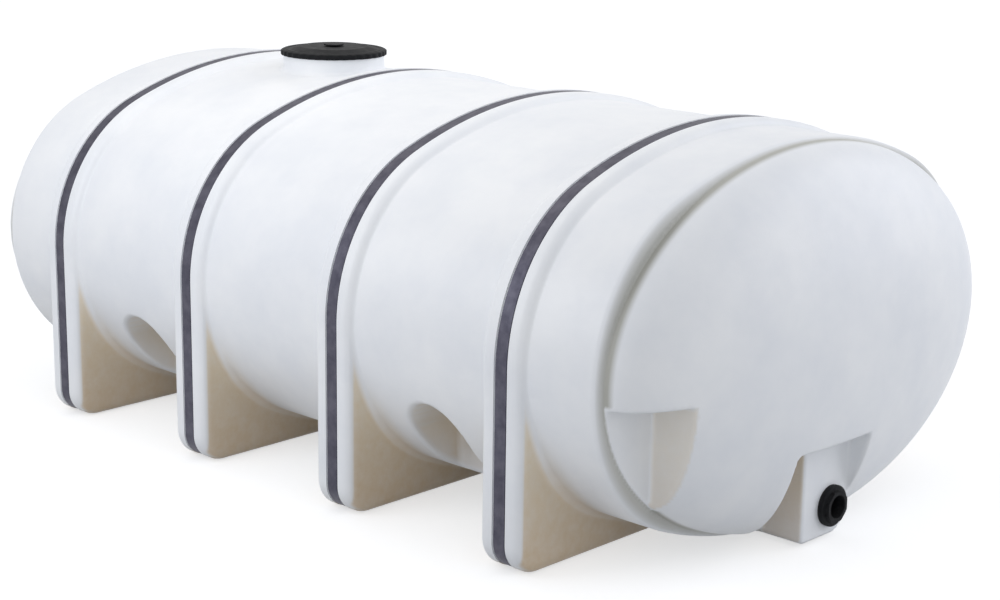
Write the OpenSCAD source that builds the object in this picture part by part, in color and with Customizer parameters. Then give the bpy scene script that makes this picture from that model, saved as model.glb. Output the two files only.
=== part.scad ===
// Horizontal storage tank: an oval polyethylene barrel on eight moulded legs, held down by four
// steel hoops. Each hoop lies in a groove that runs up two legs and over the raised band between
// them. The ends are domed, with a flat notch at one side. A manway with a lift-off lid stands on
// top, and an outlet fitting sits on a boss in a pocket at the foot of the near end.
// Frame: X runs along the barrel, +X to the outlet end. Z is up. The origin is on the floor,
// under the middle of the barrel.

/* [Barrel] */
// Width of the barrel, between the legs' raised faces
barrel_w = 2152; // [2000:4:2300]
// Height of the barrel's oval section
barrel_h = 1406; // [1300:2:1500]
// How much smaller the round sides' radius is than half the barrel's height
side_ease = 92; // [60:2:120]
// Gap between the belly and the floor
belly_gap = 12; // [8:1:40]
// Wall thickness of the moulding
wall = 12; // [8:1:14]

/* [Legs and bands] */
// Distance between neighbouring legs along the barrel
leg_pitch = 840; // [760:10:950]
// Length of a leg along the barrel
leg_len = 190; // [160:5:220]
// How far a leg's face and the band over the barrel stand out
leg_proud = 24; // [18:1:30]
// Width of the sloped edge on each side of a face or band
leg_edge = 16; // [8:1:20]
// Distance from a leg's face to its inner end
leg_reach = 750; // [650:10:800]
// Radius of a leg's bottom outer corner
leg_corner_r = 110; // [80:5:150]

/* [Hoops] */
// Width of a steel hoop
hoop_w = 50; // [40:1:60]
// Thickness of a steel hoop
hoop_t = 4; // [3:0.5:5]
// Width of the groove that a hoop lies in
groove_w = 62; // [56:1:80]
// Depth of the groove
groove_h = 6; // [6:0.5:10]
// Length of a hoop's foot under the leg, from the leg's face
foot_len = 300; // [200:10:400]
// Diameter of the anchor bolt hole in a hoop's foot
anchor_hole_d = 18; // [14:1:22]

/* [Ends] */
// Length of barrel between an outer leg's middle line and the step to the dome
end_run = 406; // [350:2:460]
// Depth of a domed end
dome_depth = 303; // [260:1:340]
// Width of the step between barrel and dome at the sides
step_side = 26; // [18:1:45]
// Width of the step between barrel and dome at the crown and the belly
step_crown = 10; // [6:1:20]
// Distance from the step line to the floor of the flat notch and of the outlet's pocket
notch_back = 10; // [4:1:50]
// Width of the notch, from the barrel's side to its inner wall
notch_w = 268; // [200:2:300]
// Height of the notch's ceiling above the floor
notch_top = 655; // [600:5:700]

/* [Belly hollows] */
// Width of an arched hollow between two legs
hollow_w = 270; // [200:5:300]
// Height of a hollow's crown above the floor
hollow_top = 490; // [440:5:520]
// Depth of a hollow, from the barrel's side to its back wall
hollow_deep = 356; // [300:4:400]

/* [Manway] */
// Distance from the barrel's middle to the manway, towards the far end
manway_x = 790; // [740:5:900]
// Clear opening of the manway
manway_d = 406; // [380:2:420]
// Height of the manway's neck above the crown
neck_h = 74; // [40:1:90]
// Wall of the neck
neck_wall = 12; // [10:1:16]
// Gap between the neck and the lid's rim
lid_gap = 5.5; // [5:0.5:8]
// Thickness of the lid's rim and top
lid_t = 4.5; // [4:0.5:8]
// Height of the lid's rim
lid_h = 24; // [22:1:40]
// Rise of the lid's dished middle
lid_rise = 10; // [6:1:16]
// Diameter of the vent cap on the lid
vent_d = 84; // [60:2:100]
// Height of the vent cap
vent_h = 10; // [8:1:30]

/* [Outlet] */
// Distance from the outlet's middle to the boss's flat left side
boss_left = 170; // [140:5:200]
// Distance from the outlet's middle to the boss's round right side
boss_right = 100; // [84:2:140]
// Distance from the step line to the boss's face
boss_out = 174; // [140:1:190]
// Radius of the boss's bottom corner on the left
boss_left_r = 24; // [16:1:60]
// Radius of the boss's bottom corner on the right
boss_right_r = 80; // [40:5:90]
// Distance from the outlet's middle to the pocket's left side
pocket_left = 310; // [250:10:350]
// Height of the pocket's ceiling above the floor
pocket_top = 390; // [300:5:450]
// Height of the outlet's middle above the floor
outlet_z = 124; // [115:1:140]
// Outside diameter of the outlet's flange
flange_d = 152; // [140:2:160]
// Thread bore of the outlet
outlet_d = 84; // [76:1:88]

/* [Hidden] */
$fn = 96;

// The barrel's oval is drawn with four arcs that meet tangentially: two round sides and two
// flatter ones over the crown and under the belly.
half_w = barrel_w / 2;
half_h = barrel_h / 2;
side_r = half_h - side_ease;
side_c = half_w - side_r;
crown_r = (side_c * side_c + half_h * half_h - side_r * side_r) / (2 * side_ease);
crown_c = crown_r - half_h;
mid_z = belly_gap + half_h;
crown_z = mid_z + half_h;
// The arcs meet on a line through their centres, at this angle above the level.
join_a = atan2(crown_c, side_c);
lap = 0.05;
// Along the barrel: the middle lines of the hoops, and the step at each end.
leg_x = [-1.5 * leg_pitch, -0.5 * leg_pitch, 0.5 * leg_pitch, 1.5 * leg_pitch];
step_x = 1.5 * leg_pitch + end_run;
hollow_x = leg_pitch;
hollow_back = half_w - hollow_deep;
// Legs, and how far the groove's floor stands out from the barrel
face_y = half_w + leg_proud;
skin = wall + leg_proud;
groove_g = leg_proud - groove_h;
leg_inner = face_y - leg_reach;
sole = 36;
// Hoop feet: the anchor bolt's head sits in a round pocket in the leg's sole.
foot_inner = face_y - foot_len;
foot_gap = 8;
anchor_in = 35;
anchor_y = foot_inner + anchor_in;
anchor_pocket_d = 44;
anchor_pocket_h = 22;
// Manway
neck_r = manway_d / 2 + neck_wall;
rim_r = neck_r + lid_gap;
lid_r = rim_r + lid_t;
neck_top = crown_z + neck_h;
seat_gap = 0.3;
gasket_h = 4;
lid_seat = neck_top + seat_gap + gasket_h;
dish_edge = 40;
dish_slope = 40;
vent_neck_d = 50;
vent_neck_h = 4;
// Outlet
seal_h = 5;
seal_in = 1;
flange_h = 16;
collar_h = 15;
collar_wall = 18;
hole_gap = 1;
tail_wall = 11;
tail_d = outlet_d + 2 * tail_wall;
nut_h = 22;
nut_d = 142;
tail = wall + nut_h + 10;
boss_x = step_x + boss_out;
// Domes. The very tip of a dome is a flat spot this deep, a few centimetres across.
dome_y = half_w - step_side;
dome_z = half_h - step_crown;
tip_flat = 0.05;
// Cutting shapes reach this far past what they cut.
past = 20;
far_out = barrel_w + barrel_h;

white = [0.90, 0.91, 0.93];
black = [0.07, 0.07, 0.08];
steel = [0.45, 0.47, 0.50];

// Turns a drawing in Y and Z into a slab that is centred on X.
module slab(length) {
    rotate([90, 0, 90])
        translate([0, 0, -length / 2])
            linear_extrude(length)
                children();
}

// A block in Y and Z from [y0, z0] to [y1, z1].
module field(y0, z0, y1, z1) {
    translate([y0, z0])
        square([y1 - y0, z1 - z0]);
}

// A block between two corners.
module block(from, to) {
    translate(from)
        cube(to - from);
}

// A field whose outer bottom corner is round, with radius r.
module foot_field(y0, z0, y1, z1, r) {
    field(y0, z0, y1 - r, z1);
    field(y0, z0 + r, y1, z1);
    translate([y1 - r, z0 + r])
        circle(r);
}

// ---- The oval ----

// The area over the crown between the two lines on which the arcs meet.
module crown_wedge() {
    translate([0, mid_z - crown_c])
        polygon([[0, 0], [far_out * cos(join_a), far_out * sin(join_a)],
                 [-far_out * cos(join_a), far_out * sin(join_a)]]);
}

// The area at the right side between the lines on which the arcs meet.
module side_wedge() {
    translate([side_c, mid_z])
        polygon([[0, 0], [far_out * cos(join_a), -far_out * sin(join_a)],
                 [far_out * cos(join_a), far_out * sin(join_a)]]);
}

// The disc of the crown's arc and the disc of a side's arc, grown by g. The crown's arc
// lies a lap lower than tangent, so that it crosses the side's arc cleanly.
module crown_disc(g) {
    translate([0, mid_z - crown_c])
        circle(crown_r + g - lap, $fn = 360);
}

module side_disc(g, side = 1) {
    translate([side * side_c, mid_z])
        circle(side_r + g, $fn = 192);
}

// Turns a drawing over, top to bottom, about the barrel's middle.
module turn_over() {
    translate([0, 2 * mid_z])
        mirror([0, 1])
            children();
}

// Distance from the middle line to where the arcs meet, grown by g.
function join_y(g) = side_c + (side_r + g) * cos(join_a);

// The barrel's whole section, grown by g.
module oval(g = 0) {
    intersection() {
        crown_disc(g);
        turn_over() crown_disc(g);
        field(-join_y(g), -barrel_h, join_y(g), 2 * barrel_h);
    }
    for (side = [-1, 1])
        side_disc(g, side);
}

// ---- Barrel ----

// The arched hollows in the belly, grown by g into the barrel.
module hollows(g) {
    r = hollow_w / 2;
    for (x = [-hollow_x, hollow_x], side = [0, 1])
        mirror([0, side, 0])
            translate([x, half_w + past, 0])
                rotate([90, 0, 0])
                    linear_extrude(half_w + past - hollow_back + g) {
                        translate([0, hollow_top - r])
                            circle(r + g);
                        translate([-r - g, -past])
                            square([2 * (r + g), hollow_top - r + past]);
                    }
}

// The spaces inside the legs, open to the inside of the barrel.
module leg_spaces() {
    for (x = leg_x, side = [0, 1])
        translate([x, 0, 0])
            mirror([0, side, 0])
                slab(leg_len - 2 * wall) leg_space();
}

// One stretch of the barrel's wall. The first child is the area it fills, the second the closed
// section under its outer surface, and the third the same section inside the wall.
module barrel_wall() {
    color(white)
        difference() {
            slab(2 * (step_x - wall))
                intersection() {
                    children(0);
                    children(1);
                }
            difference() {
                slab(2 * step_x) children(2);
                hollows(wall);
            }
            hollows(0);
            leg_spaces();
        }
}

module shell_crown() {
    difference() {
        barrel_wall() {
            crown_wedge();
            crown_disc(0);
            crown_disc(-wall);
        }
        translate([-manway_x, 0, mid_z])
            cylinder(r = neck_r, h = barrel_h, $fn = 192);
    }
}

module shell_belly() {
    barrel_wall() {
        turn_over() crown_wedge();
        turn_over() crown_disc(0);
        turn_over() crown_disc(-wall);
    }
}

module shell_side(side) {
    mirror([0, side < 0 ? 1 : 0, 0])
        barrel_wall() {
            side_wedge();
            side_disc(0);
            side_disc(-wall);
        }
}

// ---- Legs and bands ----

// A leg's outline on the right side of the tank, seen along the barrel.
module leg_outline() {
    difference() {
        foot_field(leg_inner, 0, face_y, mid_z, leg_corner_r);
        oval();
    }
}

// The space inside a leg.
module leg_space() {
    foot_field(leg_inner + wall, sole, face_y - skin, mid_z, leg_corner_r - skin);
}

// What the groove takes from a leg.
module leg_groove() {
    difference() {
        field(foot_inner - foot_gap, -past, face_y + past, mid_z);
        hoop_path(0);
    }
}

// What the sloped edges take from a leg's two outer corners.
module leg_corners() {
    for (end = [0, 1])
        mirror([end, 0, 0])
            translate([0, 0, -past])
                linear_extrude(mid_z + past)
                    polygon([[leg_len / 2, half_w], [leg_len / 2 - leg_edge, face_y],
                             [leg_len / 2 - leg_edge, face_y + past],
                             [leg_len / 2 + past, face_y + past], [leg_len / 2 + past, half_w]]);
}

module leg() {
    color(white)
        difference() {
            slab(leg_len) leg_outline();
            slab(leg_len - 2 * wall) leg_space();
            slab(groove_w) leg_groove();
            leg_corners();
            translate([0, anchor_y, -past])
                cylinder(d = anchor_pocket_d, h = past + anchor_pocket_h);
        }
}

// Puts a leg at place i. side is -1 on the left and 1 on the right.
module leg_at(i, side) {
    translate([leg_x[i], 0, 0])
        mirror([0, side < 0 ? 1 : 0, 0])
            leg();
}

// A wheel of radius r on the X axis, with the band's face and sloped edges as its rim.
module band_wheel(r) {
    rotate([0, 90, 0])
        rotate_extrude($fn = 360)
            polygon([[0, -leg_len / 2], [r, -leg_len / 2], [r + leg_proud, leg_edge - leg_len / 2],
                     [r + leg_proud, leg_len / 2 - leg_edge], [r, leg_len / 2], [0, leg_len / 2]]);
}

module band(i) {
    color(white)
        translate([leg_x[i], 0, 0])
            difference() {
                union() {
                    intersection() {
                        translate([0, 0, mid_z - crown_c])
                            band_wheel(crown_r - lap);
                        block([-leg_len, -join_y(leg_proud), mid_z],
                              [leg_len, join_y(leg_proud), 2 * barrel_h]);
                    }
                    for (side = [-1, 1])
                        intersection() {
                            translate([0, side * side_c, mid_z])
                                band_wheel(side_r);
                            block([-leg_len, -barrel_w, mid_z], [leg_len, barrel_w, 2 * barrel_h]);
                        }
                }
                slab(2 * leg_len) oval();
                slab(groove_w)
                    difference() {
                        oval(leg_proud + past);
                        oval(groove_g);
                    }
            }
}

// ---- Hoops ----

// The area inside a hoop, grown by g: the band's groove above the barrel's middle, then straight
// down the legs' grooves and round their bottom corners. Only what is further out than the
// hoop's feet counts.
module hoop_path(g) {
    oval(groove_g + g);
    for (side = [0, 1])
        mirror([side, 0])
            foot_field(-past, groove_h - g, half_w + groove_g + g, mid_z,
                       leg_corner_r - groove_h + g);
}

module hoop(i) {
    color(steel)
        translate([leg_x[i], 0, 0])
            difference() {
                slab(hoop_w)
                    difference() {
                        hoop_path(hoop_t);
                        hoop_path(0);
                        field(-foot_inner, -barrel_h, foot_inner, mid_z);
                    }
                for (side = [-1, 1])
                    translate([0, side * anchor_y, -past])
                        cylinder(d = anchor_hole_d, h = 2 * past);
            }
}

// ---- Ends ----

// The dome, t under its surface, from X = start on. The step line is at X = 0.
module dome(t, start) {
    intersection() {
        translate([0, 0, mid_z])
            scale([(dome_depth - t) / 100, (dome_y - t) / 100, (dome_z - t) / 100])
                rotate([0, 90, 0])
                    sphere(100, $fn = 128);
        block([start, -barrel_w, -past], [dome_depth - t - tip_flat, barrel_w, 2 * barrel_h]);
    }
}

// What the notch on the left takes from the dome, grown by t.
module notch(t) {
    block([notch_back - t, -barrel_w, -barrel_h],
          [far_out, notch_w - half_w + t, notch_top + t]);
}

// What the outlet's pocket takes from the dome, grown by t. On the right it ends at the boss.
module pocket(t) {
    block([notch_back - t, -pocket_left - t, -barrel_h], [far_out, boss_right + t, pocket_top + t]);
}

// The boss in the pocket, t under its surface.
module boss(t, start) {
    translate([start, 0, 0])
        rotate([90, 0, 90])
            linear_extrude(boss_out - t - start) {
                mirror([1, 0])
                    foot_field(-1, belly_gap + t, boss_left - t, pocket_top + 2 * wall,
                               boss_left_r - t);
                foot_field(-1, belly_gap + t, boss_right - t, pocket_top + 2 * wall,
                           boss_right_r - t);
            }
}

// An end's closed form, t under its outer surface.
module end_form(t, start, outlet) {
    difference() {
        dome(t, start);
        notch(t);
        if (outlet)
            pocket(t);
    }
    if (outlet)
        boss(t, start);
}

module end_shell(outlet) {
    color(white)
        translate([step_x, 0, 0])
            difference() {
                union() {
                    translate([-wall / 2, 0, 0])
                        slab(wall) oval();
                    end_form(0, -wall / 2, outlet);
                }
                end_form(wall, -wall - past, outlet);
                if (outlet)
                    translate([0, 0, outlet_z])
                        rotate([0, 90, 0])
                            cylinder(d = tail_d + 2 * hole_gap, h = barrel_w);
            }
}

module near_end() {
    end_shell(true);
}

module far_end() {
    rotate([0, 0, 180])
        end_shell(false);
}

// ---- Manway ----

module manway_neck() {
    color(white)
        difference() {
            translate([-manway_x, 0, mid_z])
                difference() {
                    cylinder(r = neck_r, h = neck_top - mid_z, $fn = 192);
                    translate([0, 0, -past])
                        cylinder(d = manway_d, h = barrel_h, $fn = 192);
                }
            slab(2 * step_x) oval(-wall);
        }
}

module manway_lid() {
    color(black)
        translate([-manway_x, 0, lid_seat])
            difference() {
                union() {
                    translate([0, 0, lid_t - lid_h])
                        cylinder(r = lid_r, h = lid_h, $fn = 192);
                    translate([0, 0, lid_t])
                        cylinder(r1 = lid_r - dish_edge, r2 = lid_r - dish_edge - dish_slope,
                                 h = lid_rise, $fn = 192);
                }
                translate([0, 0, -lid_h])
                    cylinder(r = rim_r, h = lid_h, $fn = 192);
                translate([0, 0, -lid_t])
                    cylinder(r1 = lid_r - dish_edge, r2 = lid_r - dish_edge - dish_slope,
                             h = lid_rise + lid_t, $fn = 192);
            }
}

module lid_gasket() {
    color(black)
        translate([-manway_x, 0, lid_seat - gasket_h])
            difference() {
                cylinder(r = neck_r, h = gasket_h, $fn = 192);
                translate([0, 0, -past])
                    cylinder(d = manway_d, h = gasket_h + 2 * past, $fn = 192);
            }
}

module lid_vent() {
    color(black)
        translate([-manway_x, 0, lid_seat + lid_t + lid_rise]) {
            cylinder(d = vent_neck_d, h = vent_neck_h);
            translate([0, 0, vent_neck_h])
                cylinder(d = vent_d, h = vent_h - vent_neck_h);
        }
}

// ---- Outlet ----

// Turns a solid that stands on Z to the outlet's axis, with its foot on the boss's face.
module on_boss() {
    translate([boss_x, 0, outlet_z])
        rotate([0, 90, 0])
            children();
}

module outlet_gasket() {
    color(black)
        on_boss()
            difference() {
                cylinder(d = flange_d - 2 * seal_in, h = seal_h);
                translate([0, 0, -past])
                    cylinder(d = tail_d, h = seal_h + 2 * past);
            }
}

module outlet_fitting() {
    color(black)
        on_boss()
            difference() {
                union() {
                    translate([0, 0, seal_h])
                        cylinder(d = flange_d, h = flange_h);
                    translate([0, 0, seal_h + flange_h])
                        cylinder(d = outlet_d + 2 * collar_wall, h = collar_h);
                    translate([0, 0, -tail])
                        cylinder(d = tail_d, h = tail + seal_h + flange_h);
                }
                translate([0, 0, -tail - past])
                    cylinder(d = outlet_d, h = barrel_w);
            }
}

module outlet_nut() {
    color(black)
        on_boss()
            translate([0, 0, -wall - nut_h])
                difference() {
                    cylinder(d = nut_d, h = nut_h, $fn = 6);
                    translate([0, 0, -past])
                        cylinder(d = tail_d, h = nut_h + 2 * past);
                }
}

shell_crown();
shell_belly();
shell_side(-1);  // shell_left
shell_side(1);  // shell_right
near_end();
far_end();
leg_at(0, -1);  // leg_1_left
leg_at(1, -1);  // leg_2_left
leg_at(2, -1);  // leg_3_left
leg_at(3, -1);  // leg_4_left
leg_at(0, 1);  // leg_1_right
leg_at(1, 1);  // leg_2_right
leg_at(2, 1);  // leg_3_right
leg_at(3, 1);  // leg_4_right
band(0);  // band_1
band(1);  // band_2
band(2);  // band_3
band(3);  // band_4
hoop(0);  // hoop_1
hoop(1);  // hoop_2
hoop(2);  // hoop_3
hoop(3);  // hoop_4
manway_neck();
manway_lid();
lid_gasket();
lid_vent();
outlet_gasket();
outlet_fitting();
outlet_nut();
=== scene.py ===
import bmesh
import bpy
import numpy as np
from mathutils import Matrix, Vector


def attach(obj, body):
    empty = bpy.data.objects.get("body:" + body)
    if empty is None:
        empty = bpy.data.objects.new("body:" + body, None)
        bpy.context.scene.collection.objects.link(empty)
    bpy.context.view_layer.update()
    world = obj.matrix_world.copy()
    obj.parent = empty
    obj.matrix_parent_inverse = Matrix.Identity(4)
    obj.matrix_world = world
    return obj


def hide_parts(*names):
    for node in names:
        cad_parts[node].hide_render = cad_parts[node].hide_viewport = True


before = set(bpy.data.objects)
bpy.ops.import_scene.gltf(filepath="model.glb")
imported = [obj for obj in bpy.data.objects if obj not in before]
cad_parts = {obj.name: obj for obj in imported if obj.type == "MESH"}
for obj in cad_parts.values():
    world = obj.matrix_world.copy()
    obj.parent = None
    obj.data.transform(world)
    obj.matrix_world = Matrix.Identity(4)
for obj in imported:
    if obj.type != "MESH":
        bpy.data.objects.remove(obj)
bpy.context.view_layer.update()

# ---- Tank moulding ----
# The tank itself: one rotomoulded piece of white polyethylene, 12 mm thick, with the barrel,
# the domed ends, eight hollow legs, the bands over the top and the manway's neck in one skin.

WALL = 0.012
BARREL_Y, BARREL_Z, MIDDLE_Z = 1.076, 0.703, 0.715
SIDE_R = 0.611
SIDE_C = BARREL_Y - SIDE_R
CROWN_R = (SIDE_C ** 2 + BARREL_Z ** 2 - SIDE_R ** 2) / (2 * (BARREL_Z - SIDE_R))
CROWN_C = CROWN_R - BARREL_Z
ARCS_MEET = np.arctan2(CROWN_C, SIDE_C)
STEP_X, DOME = 1.666, (0.303, 1.050, 0.693)
LEG_HALF, LEG_EDGE, LEG_IN_Y, LEG_CORNER, SOLE = 0.095, 0.016, 0.350, 0.110, 0.036
PROUD = 0.024
FACE_Y = BARREL_Y + PROUD
ARCH_X, ARCH_TO_LEG, ARCH_R, ARCH_SPRING, ARCH_BACK_Y = 0.840, 0.420, 0.135, 0.355, 0.720
LEG_PLACES = (-1.260, -0.420, 0.420, 1.260)
NOTCH_X, NOTCH_Y, NOTCH_TOP = 1.676, 0.808, 0.655
MANWAY_X, NECK_R, NECK_TOP, BORE_LOW, BORE_HIGH = -0.790, 0.215, 1.492, 1.2, 1.51
POCKET_Y, POCKET_HALF, POCKET_TOP = -0.105, 0.205, 0.390
BOSS_X, BOSS_LEFT, BOSS_RIGHT, BOSS_LOW, BOSS_TOP = 1.840, -0.170, 0.100, 0.012, 0.414
OUTLET_Z, TAIL_HOLE_R = 0.124, 0.054

# Its shape is drawn as a rule for the distance to its surface, so that every corner blends as
# powder does when it melts on the inside of a mould.


def both(a, b, r):
    """Inside a and inside b, with the edge rounded to radius r."""
    return (np.minimum(-r, np.maximum(a, b))
            + np.hypot(np.maximum(r + a, 0), np.maximum(r + b, 0)))


def either(a, b, r):
    """Inside a or inside b, with the corner between them filled to radius r."""
    return -both(-a, -b, r)


def ease(v, low, high):
    """Nought up to low, one from high on, and smooth between them."""
    t = np.clip((v - low) / (high - low), 0, 1)
    return t * t * (3 - 2 * t)


def oval(y, z):
    """Distance from the barrel's section, which is four arcs that meet tangentially."""
    y, z = np.abs(y), np.abs(z - MIDDLE_Z)
    beside = (y - SIDE_C) * np.sin(ARCS_MEET) > z * np.cos(ARCS_MEET)
    return np.where(beside, np.hypot(y - SIDE_C, z) - SIDE_R,
                    np.hypot(y, z + CROWN_C) - CROWN_R)


def domes(x, y, z):
    """Distance from the two domed ends, each half of an ellipsoid that starts at its step."""
    reach = [np.maximum(np.abs(x) - STEP_X, 0) / DOME[0], y / DOME[1], (z - MIDDLE_Z) / DOME[2]]
    k = np.sqrt(sum(v ** 2 for v in reach)) + 1e-6
    steep = np.sqrt(sum((v / w) ** 2 for v, w in zip(reach, DOME))) + 1e-6
    return k * (k - 1) / steep


def moulding(x, y, z):
    """Distance from the moulding's outer surface, under nought inside."""
    ring, ax, ay = oval(y, z), np.abs(x), np.abs(y)
    body = either(both(ring, ax - STEP_X, r=0.035), domes(x, y, z), r=0.006)

    # Arched hollows under the belly, between legs 1 and 2 and between legs 3 and 4
    from_arch = np.abs(ax - ARCH_X)
    round_top = np.hypot(from_arch, z - ARCH_SPRING)
    arch = np.where(z > ARCH_SPRING, round_top, from_arch) - ARCH_R
    body = both(body, -both(arch, ARCH_BACK_Y - ay, r=0.025), r=0.014)

    # Legs, and the bands that carry their faces over the top
    from_leg = np.abs(from_arch - ARCH_TO_LEG)
    low = z < MIDDLE_Z
    face = np.where(low, both(ay - FACE_Y, -z, r=LEG_CORNER), ring - PROUD)
    slope = (from_leg - LEG_HALF + LEG_EDGE) * PROUD + face * LEG_EDGE
    slope = slope / np.hypot(PROUD, LEG_EDGE)
    leg = both(both(face, slope, r=0.016), from_leg - LEG_HALF, r=0.010)
    leg = np.where(low, both(leg, LEG_IN_Y - ay, r=0.020), leg)
    body = either(body, leg, r=0.016 + 0.018 * ease(-z, -0.66, -0.40))

    # Flat notches: the far end is the near end turned half round
    across = np.where(x > 0, y, -y)
    notch = both(both(NOTCH_X - ax, across + NOTCH_Y, r=0.018), z - NOTCH_TOP, r=0.018)
    body = both(body, -notch, r=0.010)

    # Outlet's pocket in the near end, and the boss that fills its right part
    pocket = both(NOTCH_X - x, np.abs(y - POCKET_Y) - POCKET_HALF, r=0.020)
    body = both(body, -both(pocket, z - POCKET_TOP, r=0.020), r=0.010)
    boss = np.maximum(both(BOSS_LEFT - y, BOSS_LOW - z, r=0.024),
                      both(y - BOSS_RIGHT, BOSS_LOW - z, r=0.080))
    boss = both(np.maximum(boss, z - BOSS_TOP), x - BOSS_X, r=0.012)
    body = either(body, np.maximum(boss, 1.600 - x), r=0.016)

    # The neck runs up past its rim, and is cut off square later
    neck = np.maximum(np.hypot(x - MANWAY_X, y) - NECK_R, z - NECK_TOP - 0.025)
    return either(body, np.maximum(neck, MIDDLE_Z - z), r=0.016)


def lines(*stretches):
    """Grid lines, from (start, end, spacing) for each stretch."""
    found = []
    for start, end, spacing in stretches:
        count = max(1, round(abs(end - start) / spacing))
        found.extend(np.linspace(start, end, count + 1))
    return found


def skin(rule, xs, ys, zs):
    """The surface where the rule is nought, as points and four-sided faces: one point in each
    grid cell that it passes through, moved onto it along its slope."""
    value = rule(*np.meshgrid(xs, ys, zs, indexing="ij"))
    inside = value < 0
    shape = [n - 1 for n in value.shape]
    corners = [np.array([i, j, k]) for i in (0, 1) for j in (0, 1) for k in (0, 1)]
    full = sum(inside[tuple(slice(o, o + n) for o, n in zip(c, shape))].astype(np.int8)
               for c in corners)
    crossed = (full > 0) & (full < 8)
    number = np.full(shape, -1, np.int32)
    number[crossed] = np.arange(crossed.sum())
    cell = np.array(np.nonzero(crossed))
    grid = (xs, ys, zs)
    total, hits = np.zeros((3, cell.shape[1])), np.zeros(cell.shape[1])
    faces = []
    for axis in range(3):
        one, two = (axis + 1) % 3, (axis + 2) % 3
        for corner in (c for c in corners if c[axis] == 0):
            a = cell + corner[:, None]
            b = a.copy()
            b[axis] += 1
            va, vb = value[tuple(a)], value[tuple(b)]
            hit = (va < 0) != (vb < 0)
            at = np.array([grid[n][a[n]] for n in range(3)], float)
            at[axis] += np.where(hit, va / np.where(hit, va - vb, 1), 0) * (
                grid[axis][b[axis]] - grid[axis][a[axis]])
            total += at * hit
            hits += hit
        lower, upper = [slice(1, -1)] * 3, [slice(1, -1)] * 3
        lower[axis], upper[axis] = slice(0, -1), slice(1, None)
        turn = inside[tuple(lower)]
        edge = np.array(np.nonzero(turn != inside[tuple(upper)]))
        outward = turn[tuple(edge)]
        edge += 1
        edge[axis] -= 1
        ring = []
        for back_one, back_two in ((1, 1), (0, 1), (0, 0), (1, 0)):
            c = edge.copy()
            c[one] -= back_one
            c[two] -= back_two
            ring.append(number[tuple(c)])
        quads = np.stack(ring, 1)
        quads[~outward] = quads[~outward][:, ::-1]
        faces.append(quads)
    points = (total / hits).T
    for _ in range(4):
        slope = slopes(rule, points)
        far = rule(*points.T) / np.maximum((slope ** 2).sum(1), 0.25)
        points -= np.clip(far, -0.02, 0.02)[:, None] * slope
    return points.tolist(), np.concatenate(faces).tolist()


def slopes(rule, points, h=0.0005):
    """Which way is straight out of the surface at each point."""
    return np.stack([rule(*(points + d).T) - rule(*(points - d).T) for d in np.eye(3) * h],
                    1) / (2 * h)


def solid(name, points, faces):
    """A new piece, from its points and faces."""
    mesh = bpy.data.meshes.new(name)
    mesh.from_pydata(points, [], faces)
    piece = bpy.data.objects.new(name, mesh)
    bpy.context.scene.collection.objects.link(piece)
    return piece


def settle(piece):
    """Puts a piece's modifiers into its mesh."""
    seen = piece.evaluated_get(bpy.context.evaluated_depsgraph_get())
    mesh = bpy.data.meshes.new_from_object(seen)
    piece.modifiers.clear()
    piece.data = mesh
    return piece


def hollow(x, y, z):
    """Distance from the space inside the wall. The manway's bore runs on out of the neck."""
    bore = np.maximum(BORE_LOW - z, z - BORE_HIGH)
    bore = np.maximum(np.hypot(x - MANWAY_X, y) - NECK_R + WALL, bore)
    return np.maximum(np.minimum(moulding(x, y, z) + WALL, bore), SOLE - z)


def rod(start, axis, radius, length, sides=64):
    """A round cutter, as points and faces."""
    turn = np.arange(sides) * 2 * np.pi / sides
    ring = np.zeros((2 * sides, 3))
    ring[:, (axis + 1) % 3] = np.tile(np.cos(turn) * radius, 2)
    ring[:, (axis + 2) % 3] = np.tile(np.sin(turn) * radius, 2)
    ring[sides:, axis] = length
    faces = [tuple(range(sides))[::-1], tuple(range(sides, 2 * sides))]
    faces += [(n, (n + 1) % sides, sides + (n + 1) % sides, sides + n) for n in range(sides)]
    return (ring + start).tolist(), faces


def together(parts):
    """Several (points, faces) as one."""
    points, faces = [], []
    for some, rings in parts:
        faces += [tuple(n + len(points) for n in ring) for ring in rings]
        points += [tuple(p) for p in some]
    return points, faces


def work(piece, how, tool):
    """Cuts a tool out of a piece, or joins it on, and takes the tool away."""
    step = piece.modifiers.new("work", "BOOLEAN")
    step.operation, step.solver, step.object = how, "MANIFOLD", tool
    settle(piece)
    bpy.data.objects.remove(tool)


# Grid lines lie close where an edge, a fillet or the step is, and wide along the plain barrel.
hoop_lines = lines((0, 0.070, 0.014), (0.070, 0.112, 0.005), (0.112, 0.140, 0.009))
half = [ARCH_TO_LEG + v for v in hoop_lines] + [ARCH_TO_LEG - v for v in hoop_lines]
half += [v + ARCH_X for v in half]
half += lines((0, 0.278, 0.030), (0.562, 1.118, 0.016), (1.402, 1.620, 0.026),
              (1.620, 1.730, 0.005), (1.730, 1.985, 0.011))
along = np.unique(np.round(half + [-v for v in half], 4)).astype(np.float32)
across = np.arange(-1.118, 1.119, 0.013, np.float32)
upward = np.arange(-0.0195, 1.550, 0.013, np.float32)
tank = solid("tank_moulding", *skin(moulding, along, across, upward))
thinned = tank.modifiers.new("thinned", "DECIMATE")
thinned.ratio = 0.28
settle(tank)

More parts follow.
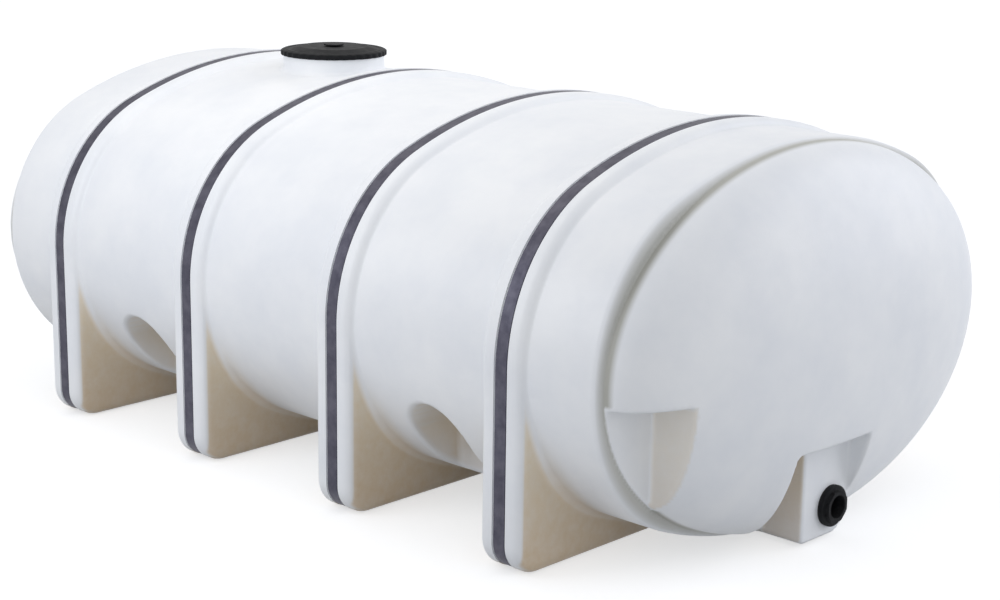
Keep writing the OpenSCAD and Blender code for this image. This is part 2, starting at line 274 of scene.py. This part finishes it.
# The space inside is as wide as the wall leaves it, so the legs are hollow too.
inner_x = np.array(lines((-2.01, -1.02, 0.030), (-1.02, -0.56, 0.012), (-0.56, 2.01, 0.030)))
inner_y = np.array(lines((-1.13, -0.24, 0.030), (-0.24, 0.24, 0.012), (0.24, 1.13, 0.030)))
inner_z = np.array(lines((-0.01, 1.37, 0.030), (1.37, 1.53, 0.010)))
space = solid("space", *skin(hollow, np.unique(inner_x), np.unique(inner_y), np.unique(inner_z)))
thinned = space.modifiers.new("thinned", "DECIMATE")
thinned.ratio = 0.35
settle(space)
work(tank, "DIFFERENCE", space)

# Each hoop lies in a groove, 62 mm wide and 6 mm deep, that runs from foot to foot over the top.
FOOT_END, GROOVE_DEEP, GROOVE_HALF = 0.792, 0.006, 0.031


def sweep(off, steps=24):
    """Half of a hoop's way round the tank at a distance off its band's face, from the middle of
    the top, down the right side and in under the sole to the foot's end."""
    meet = np.pi / 2 - ARCS_MEET
    out = PROUD + off
    crown = np.linspace(0, meet, 2 * steps, endpoint=False)
    side = np.linspace(ARCS_MEET, 0, steps)
    bend, r = np.linspace(0, np.pi / 2, steps), LEG_CORNER + off
    y = [*(np.sin(crown) * (CROWN_R + out)), *(SIDE_C + np.cos(side) * (SIDE_R + out)),
         *(FACE_Y - LEG_CORNER + np.cos(bend) * r), FOOT_END]
    z = [*(MIDDLE_Z - CROWN_C + np.cos(crown) * (CROWN_R + out)),
         *(MIDDLE_Z + np.sin(side) * (SIDE_R + out)), *(LEG_CORNER - np.sin(bend) * r), -off]
    return np.array([y, z]).T


def groove(place_x):
    """The cutter for one hoop's groove, as points and faces."""
    both_sides = [np.concatenate([half_way[:0:-1] * (-1, 1), half_way])
                  for half_way in (sweep(-GROOVE_DEEP), sweep(0.030))]
    count = len(both_sides[0])
    points = [(place_x + x, y, z) for x in (-GROOVE_HALF, GROOVE_HALF)
              for way in both_sides for y, z in way]
    rings = []
    for n in range(count - 1):
        low, high = (n + 1, n), (count + n, count + n + 1)
        rings.append(low + high)
        rings.append(tuple(k + 2 * count for k in (low + high)[::-1]))
        rings.append((low[1], low[0], low[0] + 2 * count, low[1] + 2 * count))
        rings.append((high[1], high[0], high[0] + 2 * count, high[1] + 2 * count))
    for a, b in ((count, 0), (count - 1, 2 * count - 1)):
        rings.append((a, b, b + 2 * count, a + 2 * count))
    return points, rings


# Square top of the neck, hole for the outlet's tail, the hoops' grooves, and the pockets in the
# soles for the anchor bolts' heads
BOLT_Y, BOLT_HEAD_R = 0.835, 0.022
cutters = [rod((MANWAY_X, 0, NECK_TOP), 2, NECK_R + 0.040, 0.060, 128),
           rod((BOSS_X - 0.10, 0, OUTLET_Z), 0, TAIL_HOLE_R, 0.15)]
work(tank, "DIFFERENCE", solid("cutters", *together(cutters)))
for place_x in LEG_PLACES:
    work(tank, "DIFFERENCE", solid("cutter", *groove(place_x)))
    heads = [rod((place_x, y, -0.020), 2, BOLT_HEAD_R, 0.042, 32) for y in (-BOLT_Y, BOLT_Y)]
    work(tank, "DIFFERENCE", solid("cutter", *together(heads)))

# The neck's thread is a rounded ridge, one and a third turns, that dies away at both ends.
THREAD_LOW, THREAD_PITCH, THREAD_TALL, THREAD_HALF = 1.4725, 0.0100, 0.0030, 0.0036
turn = np.linspace(0, 2.67 * np.pi, 200)
climb = THREAD_LOW + THREAD_PITCH / 2 * turn / np.pi
height = THREAD_TALL * ease(np.minimum(turn, turn[-1] - turn), 0, 0.35)
ridge = []
for swing, rise, tall in zip(turn, climb, height):
    section = ((-0.004, -THREAD_HALF), (0, -THREAD_HALF), (tall * 0.8, -0.0020), (tall, 0),
               (tall * 0.8, 0.0020), (0, THREAD_HALF), (-0.004, THREAD_HALF))
    for reach, side in section:
        r = NECK_R + reach - 0.0002
        ridge.append((MANWAY_X + r * np.cos(swing), r * np.sin(swing), rise + side))
count = len(section)
rings = [(count * i + j, count * (i + 1) + j, count * (i + 1) + (j + 1) % count,
          count * i + (j + 1) % count) for i in range(len(turn) - 1) for j in range(count)]
rings += [tuple(range(count)), tuple(range(len(ridge) - count, len(ridge)))[::-1]]
work(tank, "UNION", solid("ridge", ridge, rings))


def table(things, name, width, kind=np.float32):
    """A row of values for each thing in a mesh."""
    found = np.empty(len(things) * width, kind)
    things.foreach_get(name, found)
    return found.reshape(-1, width)


# Light falls on the moulding by the slopes of its own rule, so that no thinned face shows.
mesh = tank.data
points = table(mesh.vertices, "co", 3).astype(float)
corner = table(mesh.loops, "vertex_index", 1, np.int32)[:, 0]
sides = table(mesh.polygons, "loop_total", 1, np.int32)[:, 0]
facing = np.repeat(table(mesh.polygons, "normal", 3), sides, axis=0)
light, match = facing.copy(), np.full(len(corner), 0.5)
for rule, way in ((moulding, 1), (hollow, -1)):
    slope = way * slopes(rule, points)
    slope /= np.linalg.norm(slope, axis=1)[:, None] + 1e-9
    agree = (slope[corner] * facing).sum(1)
    better = (np.abs(rule(*points.T)) < 0.0015)[corner] & (agree > match)
    light[better], match[better] = slope[corner][better], agree[better]
mesh.polygons.foreach_set("use_smooth", np.ones(len(sides), bool))
mesh.normals_split_custom_set(light.tolist())

# Painted shade, a warm tan, on the legs' ends, in the belly's hollows, and on the walls of the
# notches and of the outlet's pocket. A second value marks the crease at each step, for painted
# shade there too.
x, y, z = points.T
ax, ay = np.abs(x), np.abs(y)
across = np.where(x > 0, y, -y)
slope = slopes(moulding, points)
ring, from_arch = oval(y, z), np.abs(ax - ARCH_X)
from_leg = np.abs(from_arch - ARCH_TO_LEG)
ends = ease(np.abs(slope[:, 0]), 0.30, 0.90) * ease(ring, 0.001, 0.026)
ends *= ease(FACE_Y - ay, 0.018, 0.030) * (np.abs(from_leg - 0.100) < 0.040)
ends *= ease(-z, -0.700, -0.500)
arches = ease(-ring, 0.004, 0.050) * (from_arch < 0.165) * (ay > 0.700) * (z < 0.520)
wall = ease(-across, 0.780, 0.800) * ease(np.abs(slope[:, 1]), 0.5, 0.95) * (ay < 0.835)
wall *= (ax > NOTCH_X) * (z < NOTCH_TOP)
low = (x > NOTCH_X) * (z < 0.400)
pocket = low * (x < BOSS_X - 0.006) * (y > -0.330) * (y < 0.120)
pocket = pocket * ease(-domes(x, y, z), 0.004, 0.030)
boss_side = low * (np.abs(y - BOSS_LEFT) < 0.004) * (x < BOSS_X - 0.008)
warm_shade_mask = np.maximum.reduce([ends, 0.8 * arches, 0.5 * wall, 0.9 * pocket, 0.45 * boss_side])
# How deep the painted shade in each step's crease is, kept off the floors of the notches and the
# pocket.
crease = np.clip(1.3 - np.abs(ax - 1.676) / 0.022, 0, 1) * ease(domes(x, y, z), -0.016, -0.004)
notch_floor = (across < -0.790) & (z < 0.670)
pocket_floor = (x > 0) & (np.abs(y - POCKET_Y) < 0.225) & (z < 0.410)
crease *= 1 - (notch_floor | pocket_floor) * ease(ax, 1.667, 1.673)
for name, values in (("warm_shade", warm_shade_mask), ("crease", crease)):
    layer = mesh.attributes.new(name, "FLOAT", "POINT")
    layer.data.foreach_set("value", values.astype(np.float32))
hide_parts("shell_crown", "shell_belly", "shell_left", "shell_right", "near_end", "far_end",
            *[f"leg_{n}_{side}" for n in (1, 2, 3, 4) for side in ("left", "right")],
            *[f"band_{n}" for n in (1, 2, 3, 4)], "manway_neck")
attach(tank, "tank")


def linear(code):
    """An sRGB hex colour as the linear values that shaders take."""
    values = [int(code[n:n + 2], 16) / 255 for n in (1, 3, 5)]
    return [v / 12.92 if v <= 0.04045 else ((v + 0.055) / 1.055) ** 2.4 for v in values] + [1.0]


def add(tree, kind, settings=None, **links):
    """Adds a node with its settings and links. A link is a socket to take, or a value to set."""
    node = tree.nodes.new(kind)
    for key, value in (settings or {}).items():
        setattr(node, key, value)
    for key, value in links.items():
        numbered = key[0] == "n" and key[1:].isdigit()
        socket = node.inputs[int(key[1:]) if numbered else key.replace("_", " ")]
        if isinstance(value, bpy.types.NodeSocket):
            tree.links.new(value, socket)
        else:
            socket.default_value = value
    return node


def fresh(name):
    """A new material with an empty node tree."""
    material = bpy.data.materials.new(name)
    material.use_nodes = True
    material.node_tree.nodes.clear()
    return material, material.node_tree


def coat(piece, material):
    """Gives a piece one material, in place of any that it has."""
    piece.data.materials.clear()
    piece.data.materials.append(material)


# Natural rotomoulded polyethylene: milky white, a little cloudy, with the faint orange peel and
# the slow waves that powder leaves when it melts on a steel mould. Painted shade is a dull tan.
# Real peel is 2 mm across and would not show, so it is drawn at 7 mm.
CLOUD_MM, MOTTLE_MM, PEEL_MM, WAVE_MM = 312, 38, 7, 140
polyethylene, tree = fresh("rotomoulded_polyethylene")
place = add(tree, "ShaderNodeTexCoord").outputs["Object"]
clouds = add(tree, "ShaderNodeTexNoise", Vector=place, Scale=1000 / CLOUD_MM, Detail=4.0,
             Roughness=0.6)
mottle = add(tree, "ShaderNodeTexNoise", Vector=place, Scale=1000 / MOTTLE_MM, Detail=6.0,
            Roughness=0.65)
peel = add(tree, "ShaderNodeTexNoise", Vector=place, Scale=1000 / PEEL_MM, Detail=2.0,
           Roughness=0.5)
waves = add(tree, "ShaderNodeTexNoise", Vector=place, Scale=1000 / WAVE_MM, Detail=1.0)
spread = add(tree, "ShaderNodeMapRange", Value=clouds.outputs["Fac"], From_Min=0.35, From_Max=0.65)
white = add(tree, "ShaderNodeMix", {"data_type": "RGBA"}, n0=spread.outputs["Result"],
            n6=linear("#F1F3F5"), n7=linear("#E9ECF0"))
# Painted shade on the sheltered faces, in a warm tan like light off the ground.
warm_shade = add(tree, "ShaderNodeAttribute", {"attribute_name": "warm_shade"}).outputs["Fac"]
uneven = add(tree, "ShaderNodeMapRange", Value=mottle.outputs["Fac"], From_Min=0.3, From_Max=0.7,
             To_Min=0.80, To_Max=1.0)
# The painted shade fades out over the barrel next to each leg, by the distance from the leg's
# middle.
where = add(tree, "ShaderNodeSeparateXYZ", Vector=place).outputs
from_middle = where["X"]
for middle in (0, ARCH_X, ARCH_TO_LEG):
    shifted = add(tree, "ShaderNodeMath", {"operation": "SUBTRACT"}, n0=from_middle, n1=middle)
    absolute = add(tree, "ShaderNodeMath", {"operation": "ABSOLUTE"}, n0=shifted.outputs[0])
    from_middle = absolute.outputs[0]
sideways = add(tree, "ShaderNodeMath", {"operation": "ABSOLUTE"}, n0=where["Y"]).outputs[0]
beside = 0.8
for value, start, end in ((from_middle, 0.215, 0.090), (where["Z"], 0.500, 0.220),
                          (sideways, 1.070, 1.040)):
    fade = add(tree, "ShaderNodeMapRange", {"interpolation_type": "SMOOTHSTEP"}, Value=value,
               From_Min=start, From_Max=end)
    beside = add(tree, "ShaderNodeMath", {"operation": "MULTIPLY"}, n0=fade.outputs["Result"],
                 n1=beside).outputs[0]
most = add(tree, "ShaderNodeMath", {"operation": "MAXIMUM"}, n0=warm_shade, n1=beside)
depth = add(tree, "ShaderNodeMath", {"operation": "MULTIPLY"}, n0=most.outputs[0],
            n1=uneven.outputs["Result"])
# The painted tan shade is darker towards the bottom.
low = add(tree, "ShaderNodeMapRange", Value=where["Z"], From_Min=0.0, From_Max=0.5)
tan = add(tree, "ShaderNodeMix", {"data_type": "RGBA"}, n0=low.outputs["Result"],
          n6=linear("#CFB99A"), n7=linear("#E9DBC1"))
tan_shaded = add(tree, "ShaderNodeMix", {"data_type": "RGBA"}, n0=depth.outputs[0],
           n6=white.outputs[2], n7=tan.outputs[2])
# Painted shade darkens the crease at each step, where the barrel meets the dome.
crease = add(tree, "ShaderNodeAttribute", {"attribute_name": "crease"}).outputs["Fac"]
crease_shade = add(tree, "ShaderNodeMath", {"operation": "MULTIPLY"}, n0=crease, n1=0.85)
dust_and_shade = add(tree, "ShaderNodeMix", {"data_type": "RGBA"}, n0=crease_shade.outputs[0],
            n6=tan_shaded.outputs[2], n7=linear("#A09F94"))
gloss = add(tree, "ShaderNodeMapRange", Value=mottle.outputs["Fac"], From_Min=0.3, From_Max=0.7,
            To_Min=0.38, To_Max=0.50)
slow = add(tree, "ShaderNodeBump", Height=waves.outputs["Fac"], Strength=0.5, Distance=0.004)
fine = add(tree, "ShaderNodeBump", Height=peel.outputs["Fac"], Normal=slow.outputs["Normal"],
           Strength=0.3, Distance=0.0006)
bsdf = add(tree, "ShaderNodeBsdfPrincipled", IOR=1.54, Roughness=gloss.outputs["Result"],
           Base_Color=dust_and_shade.outputs[2], Normal=fine.outputs["Normal"])
add(tree, "ShaderNodeOutputMaterial", Surface=bsdf.outputs["BSDF"])
coat(tank, polyethylene)

# ---- Hoops ----
# Four flat hoops of 50 mm by 4 mm steel strap, rolled to the tank and laid in the bands' grooves,
# down the legs and round under them. They hold the tank down.

# Rolled strap with a thin zinc coat gone dark: a blue-grey sheen with marks along the strap. Real
# rolling marks are 0.2 mm wide and would not show, so they are drawn 2 mm wide and 110 mm long.
MARK_MM, MARK_LENGTH_MM, BLOOM_MM = 2, 110, 45
strap, tree = fresh("rolled_zinc_coated_steel")
place = add(tree, "ShaderNodeTexCoord").outputs["Object"]
along = add(tree, "ShaderNodeMapping", Vector=place,
            Scale=(1000 / MARK_MM, 1000 / MARK_LENGTH_MM, 1000 / MARK_LENGTH_MM))
marks = add(tree, "ShaderNodeTexNoise", Vector=along.outputs["Vector"], Scale=1.0, Detail=3.0)
bloom = add(tree, "ShaderNodeTexNoise", Vector=place, Scale=1000 / BLOOM_MM, Detail=5.0,
            Roughness=0.6)
tone = add(tree, "ShaderNodeMapRange", Value=bloom.outputs["Fac"], From_Min=0.35, From_Max=0.65)
metal = add(tree, "ShaderNodeMix", {"data_type": "RGBA"}, n0=tone.outputs["Result"],
            n6=linear("#474653"), n7=linear("#5B5A66"))
dull = add(tree, "ShaderNodeMapRange", Value=marks.outputs["Fac"], From_Min=0.3, From_Max=0.7,
           To_Min=0.42, To_Max=0.56)
scored = add(tree, "ShaderNodeBump", Height=marks.outputs["Fac"], Strength=0.15, Distance=0.0002)
bsdf = add(tree, "ShaderNodeBsdfPrincipled", Metallic=0.80, Roughness=dull.outputs["Result"],
           Base_Color=metal.outputs[2], Normal=scored.outputs["Normal"])
add(tree, "ShaderNodeOutputMaterial", Surface=bsdf.outputs["BSDF"])
for n in (1, 2, 3, 4):
    coat(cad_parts[f"hoop_{n}"], strap)

# ---- Manway lid ----
# A round screw lid of black polypropylene, injection moulded, 450 mm across. Its rim has finger
# grips and hangs over the neck, and its middle is dished up to shed rain.

LID_R, RIM_R, DISH_R = 0.225, 0.2205, 0.143
LID_LOW, LID_SEAT, LID_TOP, DISH_TOP, DISH_THICK = 1.4768, 1.4963, 1.5008, 1.5108, 0.0045
GRIPS, GRIP_DEEP = 36, 0.0028


def rounded(corners, steps=4):
    """A profile with its corners rounded, from (across, along, radius) for each."""
    found = []
    for n, (a, b, r) in enumerate(corners):
        here = np.array((a, b))
        if r == 0:
            found.append(here)
            continue
        back = np.array(corners[n - 1][:2]) - here
        on = np.array(corners[(n + 1) % len(corners)][:2]) - here
        back, on = back / np.hypot(*back), on / np.hypot(*on)
        half_angle = np.arccos(np.clip(back @ on, -1, 1)) / 2
        cut = r / np.tan(half_angle)
        start, end = here + back * cut, here + on * cut
        for t in np.linspace(0, 1, steps + 1):
            found.append((1 - t) ** 2 * start + 2 * t * (1 - t) * here + t ** 2 * end)
    return np.array(found)


def turned(name, profile, sides, shape=None):
    """A profile turned round the Z axis: a ring, or a disc where it ends on the axis. The shape
    moves its points."""
    turn = np.arange(sides) * 2 * np.pi / sides
    r, z = np.repeat(profile[:, :1], sides, 1), np.repeat(profile[:, 1:], sides, 1)
    if shape:
        r, z = shape(r, z, turn)
    points = np.stack([r * np.cos(turn), r * np.sin(turn), z], 2).reshape(-1, 3).tolist()
    rows = len(profile) - (profile[0, 0] == 0)
    faces = [(i * sides + j, i * sides + (j + 1) % sides,
              (i + 1) % len(profile) * sides + (j + 1) % sides, (i + 1) % len(profile) * sides + j)
             for i in range(rows) for j in range(sides)]
    piece = solid(name, points, faces)
    mesh = bmesh.new()
    mesh.from_mesh(piece.data)
    bmesh.ops.remove_doubles(mesh, verts=mesh.verts, dist=1e-6)
    bmesh.ops.recalc_face_normals(mesh, faces=mesh.faces)
    for face in mesh.faces:
        face.smooth = True
    mesh.to_mesh(piece.data)
    mesh.free()
    piece.modifiers.new("broad_faces_lead", "WEIGHTED_NORMAL")
    return settle(piece)


def grips(r, z, turn):
    """Finger grips in the rim's side, which run out under its top edge."""
    rise = np.clip(0.5 + 0.7 * np.cos(GRIPS * turn), 0, 1)
    side = ease(r, 0.2215, 0.2235) * ease(-z, 0.0015 - LID_TOP, 0.0060 - LID_TOP)
    return r - GRIP_DEEP * (1 - rise) * side, z


lid = turned("lid_moulding", rounded([
    (0, DISH_TOP, 0), (DISH_R, DISH_TOP, 0.012), (0.187, LID_TOP - 0.0015, 0.010),
    (0.1960, LID_TOP - 0.0015, 0.0010), (0.1975, LID_TOP, 0.0010), (0.2040, LID_TOP, 0.0010),
    (0.2055, LID_TOP - 0.0015, 0.0010), (0.2150, LID_TOP - 0.0015, 0.0020),
    (LID_R, LID_TOP - 0.0060, 0.0050), (LID_R, 1.4870, 0), (LID_R, 1.4820, 0),
    (LID_R, LID_LOW, 0.0012), (RIM_R, LID_LOW, 0.0008), (RIM_R, LID_SEAT, 0.0010),
    (0.185, LID_SEAT, 0.0040), (DISH_R, DISH_TOP - DISH_THICK, 0.0060),
    (0, DISH_TOP - DISH_THICK, 0)]), 12 * GRIPS, grips)
lid.data.transform(Matrix.Translation((MANWAY_X, 0, 0)))
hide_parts("manway_lid")
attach(lid, "lid")

# Injection-moulded polypropylene, coloured through with carbon black: a satin skin with a fine
# spark-eroded grain and a breath of pale dust on what faces up. The real grain is 0.1 mm, too fine
# to show, and is drawn at 1.5 mm.
GRAIN_MM, PATCH_MM = 1.5, 33
black, tree = fresh("moulded_polypropylene")
place = add(tree, "ShaderNodeTexCoord").outputs["Object"]
grain = add(tree, "ShaderNodeTexNoise", Vector=place, Scale=1000 / GRAIN_MM, Detail=2.0)
patches = add(tree, "ShaderNodeTexNoise", Vector=place, Scale=1000 / PATCH_MM, Detail=5.0,
              Roughness=0.65)
normal = add(tree, "ShaderNodeNewGeometry").outputs["Normal"]
facing_up = add(tree, "ShaderNodeSeparateXYZ", Vector=normal).outputs["Z"]
settled = add(tree, "ShaderNodeMapRange", Value=facing_up, From_Min=0.3, From_Max=1.0,
              To_Max=0.35)
dust_and_shade = add(tree, "ShaderNodeMath", {"operation": "MULTIPLY"}, n0=settled.outputs["Result"],
            n1=patches.outputs["Fac"])
colour = add(tree, "ShaderNodeMix", {"data_type": "RGBA"}, n0=dust_and_shade.outputs[0],
             n6=linear("#1A1B1D"), n7=linear("#2E2E2D"))
gloss = add(tree, "ShaderNodeMapRange", Value=patches.outputs["Fac"], From_Min=0.3, From_Max=0.7,
            To_Min=0.50, To_Max=0.66)
bump = add(tree, "ShaderNodeBump", Height=grain.outputs["Fac"], Strength=0.3, Distance=0.0004)
bsdf = add(tree, "ShaderNodeBsdfPrincipled", IOR=1.49, Roughness=gloss.outputs["Result"],
           Specular_IOR_Level=0.10, Base_Color=colour.outputs[2], Normal=bump.outputs["Normal"])
add(tree, "ShaderNodeOutputMaterial", Surface=bsdf.outputs["BSDF"])
coat(lid, black)

# ---- Lid vent ----
# A small vent cap of the same polypropylene, screwed into the middle of the lid. Air gets in
# under its edge as the tank empties.

STEM_R, CAP_R, CAP_LOW, CAP_TALL = 0.025, 0.042, 0.0040, 0.0100
RIBS, RIB_DEEP = 24, 0.0012


def ribs(r, z, turn):
    """Ribs round the cap's side."""
    rise = np.clip(0.5 + 0.8 * np.cos(RIBS * turn), 0, 1)
    return r - RIB_DEEP * (1 - rise) * ease(r, 0.0385, 0.0410), z


vent = turned("vent_cap", rounded([
    (0, DISH_TOP, 0), (STEM_R, DISH_TOP, 0), (STEM_R, DISH_TOP + CAP_LOW, 0.0008),
    (CAP_R, DISH_TOP + CAP_LOW, 0.0008), (CAP_R, DISH_TOP + 0.0090, 0.0020),
    (0.030, DISH_TOP + 0.0098, 0.0020), (0.012, DISH_TOP + 0.0098, 0.0006),
    (0.011, DISH_TOP + CAP_TALL, 0.0004), (0, DISH_TOP + CAP_TALL, 0)]), 10 * RIBS, ribs)
vent.data.transform(Matrix.Translation((MANWAY_X, 0, 0)))
coat(vent, black)
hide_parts("lid_vent")
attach(vent, "lid")

# ---- Seals ----
# Two flat rings cut from EPDM rubber sheet: one between the neck and the lid, and one under the
# outlet's flange, squeezed against the boss.

# Cured sheet rubber: matt and almost black, with the faint print of the cloth it was rolled on,
# whose threads are 0.5 mm apart and drawn at 1 mm.
CLOTH_MM, WORN_MM = 1, 17
rubber, tree = fresh("pressed_epdm_rubber")
place = add(tree, "ShaderNodeTexCoord").outputs["Object"]
cloth = add(tree, "ShaderNodeTexNoise", Vector=place, Scale=1000 / CLOTH_MM, Detail=1.0)
worn = add(tree, "ShaderNodeTexNoise", Vector=place, Scale=1000 / WORN_MM, Detail=4.0)
colour = add(tree, "ShaderNodeMix", {"data_type": "RGBA"}, n0=worn.outputs["Fac"],
             n6=linear("#18181A"), n7=linear("#2A2A2B"))
gloss = add(tree, "ShaderNodeMapRange", Value=worn.outputs["Fac"], To_Min=0.65, To_Max=0.90)
bump = add(tree, "ShaderNodeBump", Height=cloth.outputs["Fac"], Strength=0.3, Distance=0.0003)
bsdf = add(tree, "ShaderNodeBsdfPrincipled", IOR=1.52, Roughness=gloss.outputs["Result"],
           Base_Color=colour.outputs[2], Normal=bump.outputs["Normal"])
add(tree, "ShaderNodeOutputMaterial", Surface=bsdf.outputs["BSDF"])
for name in ("lid_gasket", "outlet_gasket"):
    coat(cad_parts[name], rubber)

# ---- Outlet fitting ----
# A bulkhead fitting of black polypropylene: its tail goes through the boss and a nut draws its
# flange up from inside. The collar has eight flats for a wrench, and the bore a pipe thread.

FLANGE_R, FLANGE_LOW, FLANGE_TOP = 0.076, 0.0050, 0.0210
COLLAR_R, COLLAR_TOP, COLLAR_FLAT = 0.060, 0.0360, 0.0562
TAIL_R, TAIL_END = 0.053, -0.0440
BORE_R, PITCH, THREAD_DEEP = 0.042, 0.00318, 0.0012


def flats_and_thread(r, z, turn):
    """Cuts the collar's eight flats, and the thread in the outer part of the bore."""
    flat = COLLAR_FLAT / np.cos((turn + np.pi / 8) % (np.pi / 4) - np.pi / 8)
    r = np.where((z > 0.0235) & (r > 0.05), np.minimum(r, flat), r)
    swing = np.abs((z / PITCH - turn / (2 * np.pi)) % 1 * 2 - 1)
    threaded = (r < 0.0425) * ease(z, 0.004, 0.008) * ease(-z, -0.0345, -0.032)
    return r + THREAD_DEEP * swing * threaded, z


bore = [(BORE_R, z, 0) for z in np.arange(-0.0400, 0.0341, PITCH / 4) if z < -0.038 or z > 0.003]
profile = rounded([
    (0.0440, COLLAR_TOP, 0.0004), (COLLAR_R, COLLAR_TOP, 0.0020), (COLLAR_R, FLANGE_TOP, 0.0025),
    (FLANGE_R, FLANGE_TOP, 0.0035), (FLANGE_R, FLANGE_LOW, 0.0010), (TAIL_R, FLANGE_LOW, 0),
    (TAIL_R, TAIL_END, 0.0015), (BORE_R, TAIL_END, 0.0010)] + bore)
fitting = turned("outlet_adapter", profile, 256, flats_and_thread)
on_side = Matrix.Rotation(np.pi / 2, 4, "Y")
fitting.data.transform(Matrix.Translation((BOSS_X, 0, OUTLET_Z)) @ on_side)
coat(fitting, black)
coat(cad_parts["outlet_nut"], black)
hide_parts("outlet_fitting")
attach(fitting, "tank")

# ---- Studio ----
# A white paper floor under the tank and white walls all round. A wide wash comes from past the
# right side, and two soft panels stand on the left and hang over the middle.

FLOOR_REACH, FLOOR_Z = 60, -0.0005
floor = solid("floor", [(x * FLOOR_REACH, y * FLOOR_REACH, FLOOR_Z)
                        for x, y in ((-1, -1), (1, -1), (1, 1), (-1, 1))], [(0, 1, 2, 3)])


def seen_rays(tree):
    """One for what the camera sees, directly or in a mirror or through glass, and else nought."""
    rays = add(tree, "ShaderNodeLightPath").outputs
    mirrored = add(tree, "ShaderNodeMath", {"operation": "MAXIMUM"}, n0=rays["Is Glossy Ray"],
                   n1=rays["Is Transmission Ray"])
    seen = add(tree, "ShaderNodeMath", {"operation": "MAXIMUM"}, n0=rays["Is Camera Ray"],
               n1=mirrored.outputs[0])
    return seen.outputs[0]


# Matt paper, lit by the lamps, and lifted to white where it is seen.
paper, tree = fresh("matt_paper")
matt = add(tree, "ShaderNodeBsdfDiffuse", Color=linear("#C6C7C8"))
lift = add(tree, "ShaderNodeMath", {"operation": "MULTIPLY"}, n0=seen_rays(tree), n1=0.60)
glow = add(tree, "ShaderNodeEmission", Color=linear("#FFFFFF"), Strength=lift.outputs[0])
lifted = add(tree, "ShaderNodeAddShader", n0=matt.outputs[0], n1=glow.outputs[0])
add(tree, "ShaderNodeOutputMaterial", Surface=lifted.outputs[0])
coat(floor, paper)

world = bpy.data.worlds.new("studio")
bpy.context.scene.world = world
world.use_nodes = True
tree = world.node_tree
tree.nodes.clear()
room = add(tree, "ShaderNodeBackground", Color=linear("#FBFCFF"), Strength=0.72)
backdrop = add(tree, "ShaderNodeBackground", Color=linear("#FFFFFF"), Strength=1.0)
pick = add(tree, "ShaderNodeMixShader", n0=seen_rays(tree), n1=room.outputs[0],
           n2=backdrop.outputs[0])
add(tree, "ShaderNodeOutputWorld", Surface=pick.outputs[0])

# The spread is the wash's angle in degrees, and the panels' width in metres.
for name, kind, strength, spread, colour, place, target in (
        ("right_wash", "SUN", 0.97, 50, "#F1F4FF", (0.470, 0.814, 0.342), (0, 0, 0)),
        ("over_middle", "AREA", 10.5, 2.0, "#FFF8EE", (-0.5, -0.5, 3.2), (-0.3, 0, 0.8)),
        ("left_panel", "AREA", 29.0, 2.0, "#F6F8FF", (-0.7, -3.5, 2.4), (-0.2, 0, 0.8))):
    lamp = bpy.data.lights.new(name, kind)
    lamp.energy = strength
    lamp.color = linear(colour)[:3]
    if kind == "SUN":
        lamp.angle = np.radians(spread)
    else:
        lamp.size = spread
    source = bpy.data.objects.new(name, lamp)
    source.location = place
    source.rotation_euler = (Vector(place) - Vector(target)).to_track_quat("Z", "Y").to_euler()
    source.visible_camera = False
    bpy.context.scene.collection.objects.link(source)

# ---- Camera ----
# It stands off the outlet end's left corner, 2.6 m up, and looks a little down along the tank.
# The lens is a long one for so large an object, so the far end is not drawn much smaller.
CAMERA_AT, FOCAL_MM, SENSOR_MM = (5.729, -5.799, 2.574), 73.55, 36.0
azimuth, pitch, roll = np.radians([43.6, 14.0, 0.78])
ahead = Vector((-np.sin(azimuth) * np.cos(pitch), np.cos(azimuth) * np.cos(pitch), -np.sin(pitch)))
level = Vector((np.cos(azimuth), np.sin(azimuth), 0))
above = level.cross(ahead)
right = level * np.cos(roll) + above * np.sin(roll)
up = -level * np.sin(roll) + above * np.cos(roll)
lens = bpy.data.cameras.new("camera")
lens.sensor_width = SENSOR_MM
lens.lens = FOCAL_MM
camera = bpy.data.objects.new("camera", lens)
turned_to = Matrix((right, up, -ahead)).transposed().to_4x4()
camera.matrix_world = Matrix.Translation(CAMERA_AT) @ turned_to
bpy.context.scene.collection.objects.link(camera)
bpy.context.scene.camera = camera
bpy.context.scene.view_settings.view_transform = "Standard"
